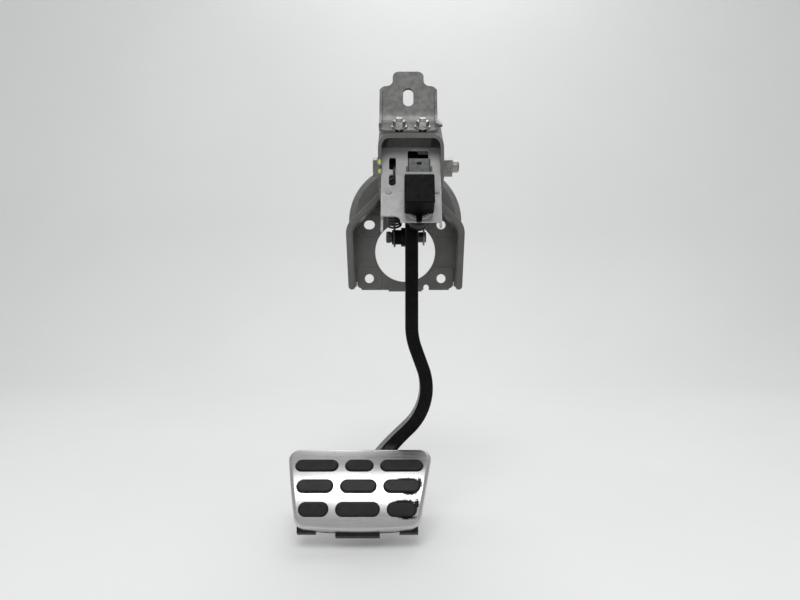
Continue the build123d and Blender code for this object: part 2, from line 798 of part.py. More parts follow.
left_bush_plane = sleeve_plane.offset(bush_side_clearance)
right_bush_plane = Plane(
    origin=(inner_right_x - bush_side_clearance, pivot_y, pivot_z), x_dir=(0, 1, 0), z_dir=(-1, 0, 0)
)
for bush_name, bush_plane in (("left_bush", left_bush_plane), ("right_bush", right_bush_plane)):
    with BuildPart() as bush:
        with BuildSketch(bush_plane):
            Circle(tube_radius)
            Circle(bush_bore, mode=Mode.SUBTRACT)
        extrude(amount=bush_flange_thickness)
        with BuildSketch(bush_plane):
            Circle(tube_bore)
            Circle(bush_bore, mode=Mode.SUBTRACT)
        extrude(amount=bush_flange_thickness + bush_length)
    bush.part.label = bush_name
    export_step(bush.part, f"parts/{bush_name}.step")

# Pad: layers bent about one axis and trimmed to one outline
pad_plane = leaning_plane(pad_x, pad_centre_y, pad_centre_z, pad_lean)
pad_side_plane = Plane.YZ.offset(pad_x)
pad_span = pad_top_width
pad_prism = 2 * pad_radius


def pad_outline(inset):
    """The pad's outline on its middle plane, drawn in from the cover's edge by an inset."""
    with BuildSketch(pad_plane) as outline:
        with BuildLine():
            bottom = ThreePointArc(
                (-pad_bottom_width / 2, pad_bottom),
                (0, pad_bottom - pad_bottom_bow),
                (pad_bottom_width / 2, pad_bottom),
            )
            Polyline(
                bottom @ 1,
                (pad_top_width / 2, pad_top),
                (-pad_top_width / 2, pad_top),
                bottom @ 0,
            )
        make_face()
        fillet(outline.vertices(), pad_corner)
        if inset != 0:
            offset(amount=-inset)
    return outline.sketch


def pad_layer(outer_radius, inner_radius, inset, edge_radius=0):
    """A bent layer of the pad between two radii, with its front edge rounded."""
    with BuildPart() as layer:
        with BuildSketch(pad_side_plane):
            with Locations((pad_centre_y, pad_centre_z)):
                Circle(outer_radius)
                Circle(inner_radius, mode=Mode.SUBTRACT)
        extrude(amount=pad_span, both=True)
        extrude(pad_outline(inset), amount=pad_prism, mode=Mode.INTERSECT)
        if edge_radius > 0:
            front = layer.faces().filter_by(GeomType.CYLINDER).sort_by(Axis(pad_plane.origin, pad_plane.z_dir))[-1]
            fillet(front.edges(), edge_radius)
    return layer.part


def slot_row(row):
    """The plane of a row of slots and the centre and length of its three slots."""
    lean = pad_lean + row * row_pitch_angle
    middle_length = row_middle_length - row * row_length_step
    side_length = row_side_length + row * row_length_step
    side_centre = middle_length / 2 + row_slot_gap + side_length / 2
    slots = ((-side_centre, side_length), (0, middle_length), (side_centre, side_length))
    return leaning_plane(pad_x, pad_centre_y, pad_centre_z, lean), slots


pad_rows = (1, 0, -1)
cover_inner_radius = pad_radius - cover_sheet
cover_rim_radius = pad_radius - cover_depth
rubber_front_radius = cover_inner_radius - cover_gap
rubber_back_radius = pad_radius - rubber_thickness
pad_plate_front_radius = pad_radius - pad_plate_depth
pad_plate_back_radius = pad_plate_front_radius - pad_plate_thickness

with BuildPart() as pad_cover:
    add(pad_layer(pad_radius, cover_rim_radius, 0, cover_edge_radius))
    cover_hollow = pad_layer(
        cover_inner_radius, cover_rim_radius - cover_sheet, cover_sheet, cover_edge_radius - cover_sheet
    )
    add(cover_hollow, mode=Mode.SUBTRACT)
    for row in pad_rows:
        row_plane, row_slots = slot_row(row)
        with BuildSketch(row_plane.offset(cover_rim_radius)):
            for slot_x, slot_length in row_slots:
                with Locations((slot_x, 0)):
                    SlotOverall(slot_length, row_slot_height)
        extrude(amount=2 * cover_depth, mode=Mode.SUBTRACT)
pad_cover.part.label = "pad_cover"
export_step(pad_cover.part, "parts/pad_cover.step")

# Lips of the rubber that stand out below the cover's bottom edge
rubber_inset = cover_sheet + cover_gap
lip_front_radius = cover_rim_radius - cover_gap

with BuildPart() as lips:
    with BuildSketch(pad_side_plane):
        with Locations((pad_centre_y, pad_centre_z)):
            Circle(lip_front_radius)
            Circle(rubber_back_radius, mode=Mode.SUBTRACT)
    extrude(amount=pad_span, both=True)
    with BuildSketch(pad_plane):
        with Locations((0, pad_bottom - pad_bottom_bow)):
            Rectangle(centre_lip_width, 2 * lip_reach)
        with Locations((-side_lip_offset, pad_bottom), (side_lip_offset, pad_bottom)):
            Rectangle(side_lip_width, 2 * lip_reach)
    extrude(amount=pad_prism, mode=Mode.INTERSECT)

with BuildPart() as rubber_pad:
    add(pad_layer(rubber_front_radius, rubber_back_radius, rubber_inset, cover_edge_radius - rubber_inset))
    add(lips.part)
    # Pocket for the steel plate and the window behind it
    add(
        pad_layer(pad_plate_front_radius + cover_gap, pad_plate_back_radius - cover_gap, pad_plate_inset - cover_gap),
        mode=Mode.SUBTRACT,
    )
    add(pad_layer(pad_plate_back_radius, rubber_back_radius - cover_sheet, rubber_wrap), mode=Mode.SUBTRACT)
    # Nubs that come through the cover's slots
    for row in pad_rows:
        row_plane, row_slots = slot_row(row)
        with BuildSketch(row_plane.offset(cover_rim_radius)):
            for slot_x, slot_length in row_slots:
                with Locations((slot_x, 0)):
                    SlotOverall(slot_length - 2 * nub_clearance, row_slot_height - 2 * nub_clearance)
        extrude(amount=cover_depth + nub_rise)
        nub_faces = rubber_pad.faces().filter_by(row_plane).filter_by(
            lambda f: (f.center() - pad_plane.origin).dot(row_plane.z_dir) > pad_radius
        )
        fillet(nub_faces.edges(), nub_edge_radius)
rubber_pad.part.label = "rubber_pad"
export_step(rubber_pad.part, "parts/rubber_pad.step")

with BuildPart() as pad_plate:
    add(pad_layer(pad_plate_front_radius, pad_plate_back_radius, pad_plate_inset))
pad_plate.part.label = "pad_plate"
export_step(pad_plate.part, "parts/pad_plate.step")

# Pedal arm: its side profile crossed with its cranked front profile
arm_line = [
    (pivot_y, pivot_z),
    (arm_waist_y, arm_waist_z),
    (arm_calf_y, arm_calf_z),
    (arm_heel_y, arm_heel_z),
    (arm_toe_y, arm_toe_z),
]
arm_driver_line = shifted_line(arm_line, arm_depth / 2)
arm_forward_line = shifted_line(arm_line, -arm_depth / 2)
arm_bends = (arm_bow_radius, arm_bow_radius, arm_heel_radius)
arm_toe_run = arm_knee_x - arm_toe_x
arm_left_x = arm_x - arm_thickness / 2
arm_right_x = arm_x + arm_thickness / 2

# Room that the arm leaves for the rubber's rim
with BuildPart() as wrap_clearance:
    add(pad_layer(pad_radius, rubber_back_radius - wrap_gap, 0))
    add(pad_layer(2 * pad_radius, pad_plate_front_radius / 2, rubber_wrap + wrap_gap), mode=Mode.SUBTRACT)

with BuildPart() as pedal_arm:
    with BuildSketch(Plane.YZ):
        with BuildLine():
            driver_edge = FilletPolyline(*arm_driver_line, radius=arm_bends)
            forward_edge = FilletPolyline(*arm_forward_line, radius=arm_bends)
            Line(driver_edge @ 0, forward_edge @ 0)
            Line(driver_edge @ 1, forward_edge @ 1)
        make_face()
        with Locations((pivot_y, pivot_z)):
            Circle(arm_eye_radius)
    extrude(amount=pad_span, both=True)
    with BuildSketch(Plane.XZ):
        with BuildLine():
            FilletPolyline(
                (arm_x, pivot_z + 2 * arm_eye_radius),
                (arm_x, arm_crank_z),
                (arm_knee_x, arm_knee_z),
                (arm_toe_x, arm_knee_z - arm_toe_run),
                radius=(arm_crank_radius, arm_knee_radius),
            )
        trace(line_width=arm_thickness)
    extrude(amount=pad_prism, mode=Mode.INTERSECT)
    arm_corners = pedal_arm.edges().filter_by(lambda e: e.length > arm_corner_run)
    fillet(arm_corners, arm_edge_radius)
    # Boss and hole for the clevis pin
    with BuildSketch(Plane.YZ.offset(arm_left_x)):
        with Locations((pin_y, pin_z)):
            Circle(pin_boss_diameter / 2)
    extrude(amount=-pin_boss_height)
    with BuildSketch(Plane.YZ):
        with Locations((pin_y, pin_z)):
            Circle(pin_diameter / 2 + pin_hole_clearance)
        with Locations((pivot_y, pivot_z)):
            Circle(tube_radius + pin_hole_clearance)
    extrude(amount=inner_width, both=True, mode=Mode.SUBTRACT)
    # Foot cut to the back of the pad
    add(pad_layer(2 * pad_radius, pad_plate_back_radius, 0), mode=Mode.SUBTRACT)
    add(wrap_clearance.part, mode=Mode.SUBTRACT)
pedal_arm.part.label = "pedal_arm"
export_step(pedal_arm.part, "parts/pedal_arm.step")

# Clevis pin with its clip and the sleeve under the spring's hook
pin_plane = Plane(origin=(pin_head_face_x, pin_y, pin_z), x_dir=(0, 1, 0), z_dir=(1, 0, 0))
pin_end_x = arm_right_x + pin_tail
clip_x = pin_end_x - 2 * clip_thickness
boss_face_x = arm_left_x - pin_boss_height

with BuildPart() as clevis_pin:
    with BuildSketch(pin_plane):
        Circle(pin_diameter / 2)
    extrude(amount=pin_end_x - pin_head_face_x)
    with BuildSketch(pin_plane):
        Circle(pin_head_diameter / 2)
    extrude(amount=pin_head_thickness)
    fillet(clevis_pin.faces().sort_by(Axis.X)[0].edges(), pin_head_edge)
    with BuildSketch(Plane.YZ.offset(clip_x)):
        with Locations((pin_y, pin_z)):
            Circle(pin_diameter)
            Circle(pin_diameter / 2 - clip_groove_depth, mode=Mode.SUBTRACT)
    extrude(amount=clip_thickness, mode=Mode.SUBTRACT)
clevis_pin.part.label = "clevis_pin"
export_step(clevis_pin.part, "parts/clevis_pin.step")

with BuildPart() as clevis_clip:
    with BuildSketch(Plane.YZ.offset(clip_x)):
        with Locations((pin_y, pin_z)):
            Circle(clip_diameter / 2)
            Circle(pin_diameter / 2 - clip_groove_depth, mode=Mode.SUBTRACT)
        with Locations((pin_y, pin_z - clip_diameter / 2)):
            Rectangle(pin_diameter / 2, clip_diameter, mode=Mode.SUBTRACT)
    extrude(amount=clip_thickness)
clevis_clip.part.label = "clevis_clip"
export_step(clevis_clip.part, "parts/clevis_clip.step")

with BuildPart() as spring_bush:
    with BuildSketch(Plane.YZ.offset(boss_face_x)):
        with Locations((pin_y, pin_z)):
            Circle(bush_sleeve_diameter / 2)
            Circle(pin_diameter / 2 + pin_hole_clearance, mode=Mode.SUBTRACT)
    extrude(amount=-bush_sleeve_length)
spring_bush.part.label = "spring_bush"
export_step(spring_bush.part, "parts/spring_bush.step")

# Stop on the arm that the plunger rests on
stop_face = -barrel_reach - plunger_reach - plunger_gap
stop_plate_face = stop_face - stop_rubber_thickness

with BuildPart() as stop_rubber:
    with BuildSketch(switch_plane.offset(stop_face)):
        Circle(stop_rubber_diameter / 2)
    extrude(amount=-stop_rubber_thickness)
    fillet(stop_rubber.faces().filter_by(switch_plane).sort_by(Axis.Y)[0].edges(), stop_rubber_dome)
stop_rubber.part.label = "stop_rubber"
export_step(stop_rubber.part, "parts/stop_rubber.step")

with BuildPart() as stop_bracket:
    with BuildSketch(switch_plane.offset(stop_plate_face)):
        Circle(stop_plate_diameter / 2)
    extrude(amount=-stop_plate_thickness)
    with BuildSketch(switch_plane.offset(stop_plate_face)):
        with Locations((arm_x - switch_x, 0)):
            Rectangle(stop_web_thickness, stop_plate_diameter / 2)
    extrude(amount=-arm_depth / 2)
    add(pedal_arm.part, mode=Mode.SUBTRACT)
stop_bracket.part.label = "stop_bracket"
export_step(stop_bracket.part, "parts/stop_bracket.step")

# Return spring from the pin's sleeve to the web between the hook holes
hook_web_centre = hook_hole_low + hook_hole_length + hook_web / 2
hook_anchor = switch_upper_plane.from_local_coords((spring_x - housing_x, hook_web_centre, -switch_sheet / 2))
pin_hook_radius = bush_sleeve_diameter / 2 + hook_clearance + wire_diameter / 2
plate_hook_radius = math.hypot(hook_web, switch_sheet) / 2 + hook_clearance + wire_diameter / 2
spring_foot = Vector(spring_x, pin_y, pin_z)
spring_axis = (hook_anchor - spring_foot).normalized()
spring_angle = math.degrees(math.atan2(spring_axis.Z, spring_axis.Y))
pin_hook_end = spring_foot + spring_axis * pin_hook_radius
coil_start = spring_foot + spring_axis * (pin_hook_radius + shank_length)
coil_length = coil_turns * coil_pitch
coil_end = coil_start + spring_axis * coil_length
plate_hook_start = hook_anchor - switch_upper_plane.z_dir * plate_hook_radius

with BuildPart() as return_spring:
    with BuildLine():
        coil_line = Helix(coil_pitch, coil_length, coil_diameter / 2, center=coil_start, direction=spring_axis)
    with BuildSketch(Plane(origin=coil_line @ 0, z_dir=coil_line % 0)):
        Circle(wire_diameter / 2)
    sweep(path=coil_line)
    with BuildLine(Plane.YZ.offset(spring_x)):
        pin_hook = CenterArc((pin_y, pin_z), pin_hook_radius, spring_angle, hook_sweep)
    with BuildSketch(Plane(origin=pin_hook @ 0, z_dir=pin_hook % 0)):
        Circle(wire_diameter / 2)
    sweep(path=pin_hook)
    with BuildLine(Plane.YZ.offset(spring_x)):
        plate_hook = CenterArc(
            (hook_anchor.Y, hook_anchor.Z), plate_hook_radius, -switch_upper_lean, -hook_sweep
        )
    with BuildSketch(Plane(origin=plate_hook @ 0, z_dir=plate_hook % 0)):
        Circle(wire_diameter / 2)
    sweep(path=plate_hook)
    shanks = (
        (pin_hook_end, coil_start),
        (coil_start, coil_line @ 0),
        (coil_line @ 1, coil_end),
        (coil_end, plate_hook_start),
    )
    for shank_start, shank_end in shanks:
        with BuildSketch(Plane(origin=shank_start, z_dir=shank_end - shank_start)):
            Circle(wire_diameter / 2)
        extrude(amount=(shank_end - shank_start).length)
        with Locations(shank_start, shank_end):
            Sphere(wire_diameter / 2)
return_spring.part.label = "return_spring"
export_step(return_spring.part, "parts/return_spring.step")
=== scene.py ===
"""Looks of the brake pedal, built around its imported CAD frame. Metres, same frame as the CAD."""
import math
import bpy
from mathutils import Matrix, Vector


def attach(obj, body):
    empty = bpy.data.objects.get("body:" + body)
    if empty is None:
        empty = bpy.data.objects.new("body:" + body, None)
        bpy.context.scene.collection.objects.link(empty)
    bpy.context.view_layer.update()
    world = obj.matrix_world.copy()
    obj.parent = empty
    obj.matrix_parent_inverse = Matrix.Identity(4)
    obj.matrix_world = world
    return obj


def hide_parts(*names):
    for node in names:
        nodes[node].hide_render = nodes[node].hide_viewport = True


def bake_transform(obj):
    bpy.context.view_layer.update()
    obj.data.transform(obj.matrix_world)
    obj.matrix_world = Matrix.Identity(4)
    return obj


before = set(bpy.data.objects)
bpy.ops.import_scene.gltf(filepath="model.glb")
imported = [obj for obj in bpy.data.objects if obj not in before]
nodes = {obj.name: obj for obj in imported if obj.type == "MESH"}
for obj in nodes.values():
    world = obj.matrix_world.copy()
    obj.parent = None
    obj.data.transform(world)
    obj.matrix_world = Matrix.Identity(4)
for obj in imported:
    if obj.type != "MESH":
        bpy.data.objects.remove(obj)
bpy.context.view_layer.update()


# Small helpers for node trees

def add_node(tree, kind, settings=None, inputs=None):
    """A node with its settings, and its inputs given as values or as sockets to link from."""
    made = tree.nodes.new(kind)
    for key, value in (settings or {}).items():
        setattr(made, key, value)
    for key, value in (inputs or {}).items():
        if isinstance(value, bpy.types.NodeSocket):
            tree.links.new(value, made.inputs[key])
        else:
            made.inputs[key].default_value = value
    return made


def noise(tree, vector, scale, detail=4.0, rough=0.55):
    """Noise between 0 and 1 at a scale in cycles per metre."""
    return add_node(
        tree, "ShaderNodeTexNoise", None,
        {"Vector": vector, "Scale": scale, "Detail": detail, "Roughness": rough},
    ).outputs["Fac"]


def stretched(tree, vector, scale, turn=(0.0, 0.0, 0.0)):
    """Coordinates stretched by a scale on each axis, for brushing and scratches."""
    return add_node(
        tree, "ShaderNodeMapping", None, {"Vector": vector, "Scale": scale, "Rotation": turn}
    ).outputs["Vector"]


def ramp(tree, value, low, high, start=0.0, end=1.0):
    """A value remapped from low..high to start..end, clamped and smooth."""
    return add_node(
        tree, "ShaderNodeMapRange", {"interpolation_type": "SMOOTHSTEP"},
        {"Value": value, "From Min": low, "From Max": high, "To Min": start, "To Max": end},
    ).outputs["Result"]


def maths(tree, operation, first, second=0.0):
    made = add_node(tree, "ShaderNodeMath", {"operation": operation}, {0: first, 1: second})
    return made.outputs["Value"]


def blended(tree, factor, first, second):
    """Two colours mixed by a factor."""
    mix = add_node(tree, "ShaderNodeMix", {"data_type": "RGBA"}, {"Factor": factor})
    for index, colour in ((6, first), (7, second)):
        if isinstance(colour, bpy.types.NodeSocket):
            tree.links.new(colour, mix.inputs[index])
        else:
            mix.inputs[index].default_value = (*colour, 1.0)
    return mix.outputs[2]


def distance_from(tree, vector, point):
    """Distance in metres from a point in the frame."""
    return add_node(
        tree, "ShaderNodeVectorMath", {"operation": "DISTANCE"}, {0: vector, 1: point}
    ).outputs["Value"]


def axis_of(tree, vector, axis):
    return add_node(tree, "ShaderNodeSeparateXYZ", None, {"Vector": vector}).outputs[axis]


class Surface:
    """A procedural material: mottled colour, uneven roughness, fine grain and rounded edges."""

    def __init__(
        self, name, colour, second, roughness,
        metallic=0.0, mottle=70.0, grain=1400.0, relief=0.12, edge=0.0004, uneven=0.08,
    ):
        self.material = bpy.data.materials.new(name)
        self.material.use_nodes = True
        self.tree = self.material.node_tree
        self.shader = self.tree.nodes["Principled BSDF"]
        self.place = add_node(self.tree, "ShaderNodeTexCoord").outputs["Object"]
        self.mottle = ramp(self.tree, noise(self.tree, self.place, mottle, 6.0), 0.3, 0.7)
        self.colour = blended(self.tree, self.mottle, colour, second)
        self.rough = ramp(
            self.tree, noise(self.tree, self.place, mottle * 4), 0.3, 0.7,
            roughness - uneven, roughness + uneven,
        )
        self.round = self.rounded(edge)
        self.height = noise(self.tree, self.place, grain, 3.0)
        self.relief = relief
        self.shader.inputs["Metallic"].default_value = metallic

    def rounded(self, radius):
        """Normals that round the edges by a radius."""
        return add_node(self.tree, "ShaderNodeBevel", {"samples": 6}, {"Radius": radius}).outputs["Normal"]

    def edge_mask(self, radius):
        """1 on outer and inner edges, 0 on open faces."""
        face = add_node(self.tree, "ShaderNodeNewGeometry").outputs["Normal"]
        dot = add_node(
            self.tree, "ShaderNodeVectorMath", {"operation": "DOT_PRODUCT"}, {0: self.rounded(radius), 1: face}
        )
        return ramp(self.tree, dot.outputs["Value"], 0.995, 0.9)

    def layer(self, mask, colour):
        self.colour = blended(self.tree, mask, self.colour, colour)

    def worn_and_highlit_edges(self, colour, radius=0.0008, share=0.75):
        # Pale edges: partly worn paint, partly a painted highlight along every edge
        patchy = ramp(self.tree, noise(self.tree, self.place, 260.0), 0.35, 0.6)
        wear_and_highlight = maths(self.tree, "MULTIPLY", patchy, share)
        self.layer(maths(self.tree, "MULTIPLY", self.edge_mask(radius), wear_and_highlight), colour)

    def scratches(self, colour, scale, turn, threshold=0.68, share=0.6):
        """Thin straight scratches where a stretched noise peaks."""
        lines = noise(self.tree, stretched(self.tree, self.place, scale, turn), 1.0, 2.0)
        mask = maths(self.tree, "MULTIPLY", ramp(self.tree, lines, threshold, threshold + 0.05), share)
        self.layer(mask, colour)

    def dust(self, colour, share=0.35):
        """Pale dust that lies where the surface faces up."""
        up = axis_of(self.tree, add_node(self.tree, "ShaderNodeNewGeometry").outputs["Normal"], "Z")
        patchy = noise(self.tree, self.place, 120.0, 8.0)
        mask = maths(self.tree, "MULTIPLY", ramp(self.tree, up, 0.1, 1.0, 0.0, share), patchy)
        self.layer(mask, colour)

    def done(self, specular=0.5):
        """Links the layers to the shader and gives the material."""
        bump = add_node(
            self.tree, "ShaderNodeBump", None,
            {"Height": self.height, "Strength": self.relief, "Distance": 0.0002, "Normal": self.round},
        )
        self.tree.links.new(bump.outputs["Normal"], self.shader.inputs["Normal"])
        self.tree.links.new(self.colour, self.shader.inputs["Base Color"])
        self.tree.links.new(self.rough, self.shader.inputs["Roughness"])
        self.shader.inputs["Specular IOR Level"].default_value = specular
        return self.material


# Materials

def bracket_paint(name):
    """Dark warm grey paint with pale edges, partly worn paint and partly a painted highlight, and handling
    scratches.
    """
    paint = Surface(name, (0.120, 0.120, 0.113), (0.094, 0.094, 0.089), 0.42, mottle=45.0)
    paint.scratches((0.27, 0.27, 0.26), (500.0, 500.0, 18.0), (0.0, 0.55, 0.0), 0.70, 0.55)
    paint.scratches((0.22, 0.22, 0.21), (22.0, 420.0, 420.0), (0.0, 0.35, 0.0), 0.71, 0.5)
    paint.worn_and_highlit_edges((0.30, 0.30, 0.29))
    paint.dust((0.33, 0.32, 0.30), 0.30)
    return paint


plate_material = bracket_paint("bracket_paint").done()

# The cowl bracket has the mark of a washer round its slot
cowl = bracket_paint("cowl_paint")
slot_distance = distance_from(cowl.tree, cowl.place, (0.002, -0.1057, 0.1374))
ring = maths(
    cowl.tree, "MULTIPLY",
    ramp(cowl.tree, slot_distance, 0.0095, 0.0110), ramp(cowl.tree, slot_distance, 0.0150, 0.0125),
)
cowl.layer(maths(cowl.tree, "MULTIPLY", ring, 0.12), (0.20, 0.20, 0.19))
# Painted shade darkens its upright below the tone of its base, and a painted highlight makes the bend between
# them pale
height = axis_of(cowl.tree, cowl.place, "Z")
# Painted shade on the upright above the bend
cowl.layer(ramp(cowl.tree, height, 0.119, 0.124, 0.0, 0.6), (0.045, 0.045, 0.042))
# Painted highlight: a pale band along the bend between upright and base
bend_highlight_foot = ramp(cowl.tree, height, 0.1085, 0.1125)
bend_highlight_head = ramp(cowl.tree, height, 0.1200, 0.1160, 0.0, 0.75)
cowl.layer(maths(cowl.tree, "MULTIPLY", bend_highlight_foot, bend_highlight_head), (0.34, 0.34, 0.33))
cowl_material = cowl.done()

light_paint = Surface("switch_plate_paint", (0.36, 0.36, 0.35), (0.30, 0.30, 0.295), 0.36, mottle=60.0)
light_paint.scratches((0.16, 0.155, 0.145), (30.0, 600.0, 600.0), (0.0, 0.9, 0.0), 0.70, 0.5)
# Very pale edges: partly worn paint, partly a painted highlight
light_paint.worn_and_highlit_edges((0.62, 0.62, 0.61), 0.0010, 0.9)
light_material = light_paint.done()

zinc = Surface(
    "zinc", (0.52, 0.52, 0.49), (0.36, 0.36, 0.34), 0.36,
    metallic=1.0, mottle=220.0, relief=0.2,
)
zinc.scratches((0.75, 0.75, 0.73), (900.0, 60.0, 900.0), (0.3, 0.0, 0.2), 0.68, 0.5)
zinc_material = zinc.done()

dark_zinc = Surface(
    "dark_zinc", (0.24, 0.24, 0.23), (0.16, 0.16, 0.155), 0.40,
    metallic=1.0, mottle=200.0, relief=0.2,
)
# Pale edges: partly wear, partly a painted highlight
dark_zinc.worn_and_highlit_edges((0.42, 0.42, 0.40), 0.0006, 0.7)
dark_zinc_material = dark_zinc.done()

black_plastic = Surface(
    "black_plastic", (0.0025, 0.0025, 0.0027), (0.0045, 0.0045, 0.0048), 0.42,
    mottle=90.0, relief=0.2,
)
# Grey edges on the black plastic: partly wear, partly a painted highlight
black_plastic.worn_and_highlit_edges((0.05, 0.05, 0.05), 0.0006, 0.6)
black_plastic_material = black_plastic.done(specular=0.05)

# Slate connector, with painted shade that darkens it towards its bottom
slate = Surface(
    "slate_plastic", (0.050, 0.055, 0.047), (0.042, 0.047, 0.041), 0.45,
    mottle=110.0, relief=0.2,
)
# Painted shade: darker towards the bottom of the connector
slate_painted_shade = ramp(slate.tree, axis_of(slate.tree, slate.place, "Z"), 0.066, 0.050)
slate.layer(slate_painted_shade, (0.013, 0.018, 0.018))
# Pale edges: partly wear, partly a painted highlight
slate.worn_and_highlit_edges((0.11, 0.12, 0.11), 0.0007, 0.7)
slate_material = slate.done()

terminal = Surface(
    "terminal_metal", (0.70, 0.69, 0.64), (0.58, 0.57, 0.53), 0.3,
    metallic=1.0, mottle=300.0,
)
terminal_material = terminal.done()

spring_coat = Surface(
    "spring_coat", (0.012, 0.012, 0.012), (0.024, 0.023, 0.022), 0.33,
    mottle=240.0, edge=0.0002,
)
spring_material = spring_coat.done()

plunger = Surface("plunger_plastic", (0.48, 0.47, 0.43), (0.42, 0.41, 0.37), 0.4, mottle=200.0)
plunger_material = plunger.done()

bush = Surface("bush_plastic", (0.17, 0.165, 0.15), (0.12, 0.118, 0.108), 0.42, mottle=160.0)
bush.dust((0.3, 0.29, 0.27), 0.3)
bush_material = bush.done()

arm = Surface(
    "arm_paint", (0.0035, 0.0035, 0.0040), (0.0060, 0.0060, 0.0065), 0.26,
    mottle=50.0, grain=500.0, relief=0.05, edge=0.0006, uneven=0.05,
)
arm.dust((0.05, 0.05, 0.05), 0.06)
arm_material = arm.done(specular=0.08)

olive = Surface(
    "stop_rubber", (0.040, 0.040, 0.031), (0.028, 0.028, 0.023), 0.7,
    mottle=140.0, relief=0.35,
)
olive_material = olive.done(specular=0.3)

pad_rubber = Surface(
    "pad_rubber", (0.0080, 0.0080, 0.0080), (0.0140, 0.0140, 0.0135), 0.46,
    mottle=150.0, relief=0.4,
)
pad_rubber.dust((0.08, 0.08, 0.075), 0.12)
pad_rubber_material = pad_rubber.done(specular=0.25)

# Stainless cover, brushed along its length, with rubber smeared by worn nubs at the right
steel = Surface(
    "stainless", (0.60, 0.60, 0.59), (0.52, 0.52, 0.51), 0.34,
    metallic=1.0, mottle=35.0, relief=0.10,
)
brushing = noise(steel.tree, stretched(steel.tree, steel.place, (14.0, 900.0, 900.0)), 1.0, 4.0, 0.7)
steel.layer(ramp(steel.tree, brushing, 0.45, 0.75, 0.0, 0.35), (0.40, 0.40, 0.39))
steel.rough = ramp(steel.tree, brushing, 0.3, 0.7, 0.24, 0.36)
steel.height = brushing
steel.scratches((0.25, 0.25, 0.245), (20.0, 500.0, 500.0), (0.0, 0.7, 0.0), 0.72, 0.4)
# Each smear: its middle, its reach across the pad and its reach along the pad's face
smears = (
    ((0.0024, -0.1535, -0.2213), 0.0066, 0.0019),
    ((0.0113, -0.1482, -0.2143), 0.0024, 0.0046),
    ((-0.0023, -0.1577, -0.2280), 0.0094, 0.0024),
    ((0.0000, -0.1630, -0.2390), 0.0076, 0.0016),
    ((0.0002, -0.1461, -0.2119), 0.0105, 0.0017),
    ((0.0088, -0.1583, -0.2291), 0.0020, 0.0040),
)
ragged = noise(steel.tree, stretched(steel.tree, steel.place, (900.0, 1300.0, 1300.0)), 1.0, 4.0, 0.7)
for middle, across, along in smears:
    scale = (1.0 / across, 1.0 / along, 1.0 / along)
    scaled_middle = tuple(value * factor for value, factor in zip(middle, scale))
    gap = distance_from(steel.tree, stretched(steel.tree, steel.place, scale), scaled_middle)
    torn = maths(steel.tree, "SUBTRACT", gap, maths(steel.tree, "MULTIPLY", ragged, 2.6))
    steel.layer(ramp(steel.tree, torn, -0.20, -0.40), (0.012, 0.012, 0.012))
steel_material = steel.done()

node_materials = {
    "firewall_plate": plate_material,
    "pivot_housing": plate_material,
    "cowl_bracket": cowl_material,
    "switch_plate": light_material,
    "cowl_studs": zinc_material,
    "cowl_nuts": zinc_material,
    "pivot_bolt": dark_zinc_material,
    "pivot_nut": dark_zinc_material,
    "pivot_sleeve": zinc_material,
    "switch_housing": black_plastic_material,
    "switch_lock_ring": black_plastic_material,
    "switch_connector": slate_material,
    "switch_terminals": terminal_material,
    "return_spring": spring_material,
    "switch_plunger": plunger_material,
    "pedal_arm": arm_material,
    "pivot_tube": arm_material,
    "left_bush": bush_material,
    "right_bush": bush_material,
    "stop_bracket": arm_material,
    "stop_rubber": olive_material,
    "clevis_pin": spring_material,
    "clevis_clip": dark_zinc_material,
    "spring_bush": black_plastic_material,
    "pad_plate": arm_material,
    "rubber_pad": pad_rubber_material,
    "pad_cover": steel_material,
}
for node_name, node_material in node_materials.items():
    mesh = nodes[node_name].data
    mesh.materials.clear()
    mesh.materials.append(node_material)


# Added pieces

def piece(name, vertices, faces, material, smooth=True):
    """A mesh object at the origin, with its place in its vertices."""
    mesh = bpy.data.meshes.new(name)
    mesh.from_pydata(vertices, [], faces)
    mesh.materials.append(material)
    mesh.update()
    if smooth:
        mesh.shade_smooth()
    made = bpy.data.objects.new(name, mesh)
    bpy.context.scene.collection.objects.link(made)
    return made


# The return spring, a copy of the CAD wire that stretches between the bracket and the pedal
spring_mesh = nodes["return_spring"].data.copy()
spring = bpy.data.objects.new("return_spring_wire", spring_mesh)
bpy.context.scene.collection.objects.link(spring)
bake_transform(spring)
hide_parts("return_spring")


def thread(name, foot, direction, length, radius, pitch, depth, body):
    """A screw thread as a ridged sleeve round a CAD shank."""
    along = Vector(direction).normalized()
    side = along.orthogonal().normalized()
    other = along.cross(side)
    columns = 40
    rows = max(2, round(length / pitch * 8))
    vertices = []
    for row in range(rows + 1):
        step = length * row / rows
        for column in range(columns):
            turn = 2 * math.pi * column / columns
            phase = (step / pitch + column / columns) % 1.0
            ridge = radius + depth * (1.0 - abs(2.0 * phase - 1.0))
            place = Vector(foot) + along * step
            vertices.append(place + side * ridge * math.cos(turn) + other * ridge * math.sin(turn))
    faces = []
    for row in range(rows):
        for column in range(columns):
            after = (column + 1) % columns
            first, second = row * columns, (row + 1) * columns
            faces.append((first + column, first + after, second + after, second + column))
    made = piece(name, vertices, faces, zinc_material)
    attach(made, body)
    return made


